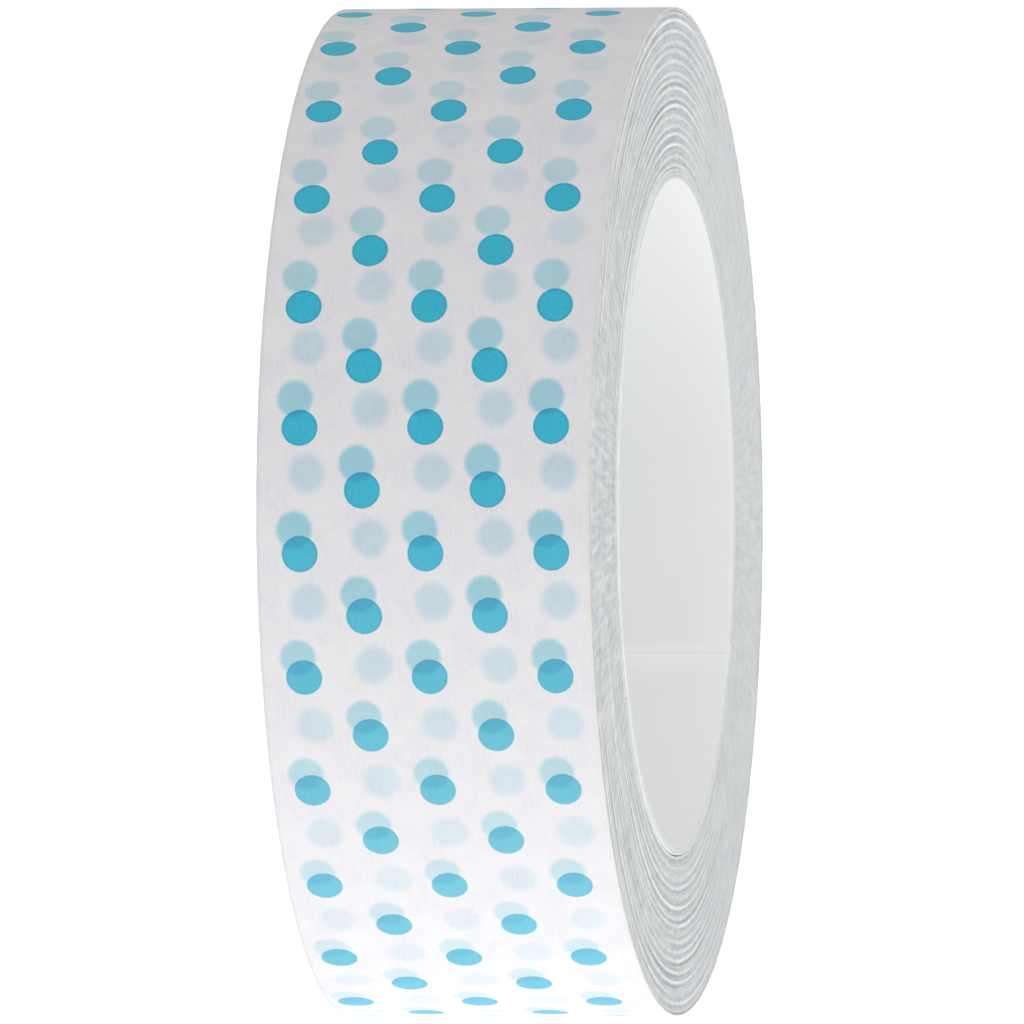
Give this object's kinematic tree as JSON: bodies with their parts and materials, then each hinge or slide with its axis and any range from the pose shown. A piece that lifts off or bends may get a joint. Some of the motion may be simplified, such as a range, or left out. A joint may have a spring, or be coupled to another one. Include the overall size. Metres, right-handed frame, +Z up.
{
  "type": "decorative paper tape roll",
  "caption": "Small roll of narrow translucent paper tape printed with pale blue dots, wound on a thin card core, with a free end that peels away from the roll.",
  "frame": {"origin": "centre of the core's bore, halfway along the tape's width", "axes": "+Y along the roll's axis, +Z up with the roll standing on its tread, +X out of the side of the tread that faces the viewer"},
  "size_m": [0.0453, 0.015, 0.0454],
  "materials": {
    "core_card": "matte",
    "printed_tape": "satin"
  },
  "bodies": {
    "roll": {"core_inner_ply": "core_card", "core_middle_ply": "core_card", "core_outer_ply": "core_card", "wound_turns": "printed_tape", "outer_turns": "printed_tape"},
    "free_end_1": {"free_end_1": "printed_tape"},
    "free_end_2": {"free_end_2": "printed_tape"},
    "free_end_3": {"free_end_3": "printed_tape"},
    "free_end_4": {"free_end_4": "printed_tape"},
    "free_end_5": {"free_end_5": "printed_tape"},
    "free_end_6": {"free_end_6": "printed_tape"}
  },
  "joints": [
    {"name": "peel", "type": "hinge", "parent": "roll", "child": "free_end_1", "pos_m": [-0.00776, 0, 0.02133], "axis": [0, 1, 0], "range_deg": [0, 90]},
    {"name": "bend_1", "type": "hinge", "parent": "free_end_1", "child": "free_end_2", "pos_m": [-0.01135, 0, 0.01966], "axis": [0, 1, 0], "range_deg": [0, 10]},
    {"name": "bend_2", "type": "hinge", "parent": "free_end_2", "child": "free_end_3", "pos_m": [-0.01459, 0, 0.01739], "axis": [0, 1, 0], "range_deg": [0, 10]},
    {"name": "bend_3", "type": "hinge", "parent": "free_end_3", "child": "free_end_4", "pos_m": [-0.01739, 0, 0.01459], "axis": [0, 1, 0], "range_deg": [0, 10]},
    {"name": "bend_4", "type": "hinge", "parent": "free_end_4", "child": "free_end_5", "pos_m": [-0.01966, 0, 0.01135], "axis": [0, 1, 0], "range_deg": [0, 10]},
    {"name": "bend_5", "type": "hinge", "parent": "free_end_5", "child": "free_end_6", "pos_m": [-0.02133, 0, 0.00776], "axis": [0, 1, 0], "range_deg": [0, 10]}
  ],
  "couplings": [
    {"joint": "bend_1", "follows": "peel", "ratio": 0.11111},
    {"joint": "bend_2", "follows": "peel", "ratio": 0.11111},
    {"joint": "bend_3", "follows": "peel", "ratio": 0.11111},
    {"joint": "bend_4", "follows": "peel", "ratio": 0.11111},
    {"joint": "bend_5", "follows": "peel", "ratio": 0.11111}
  ]
}
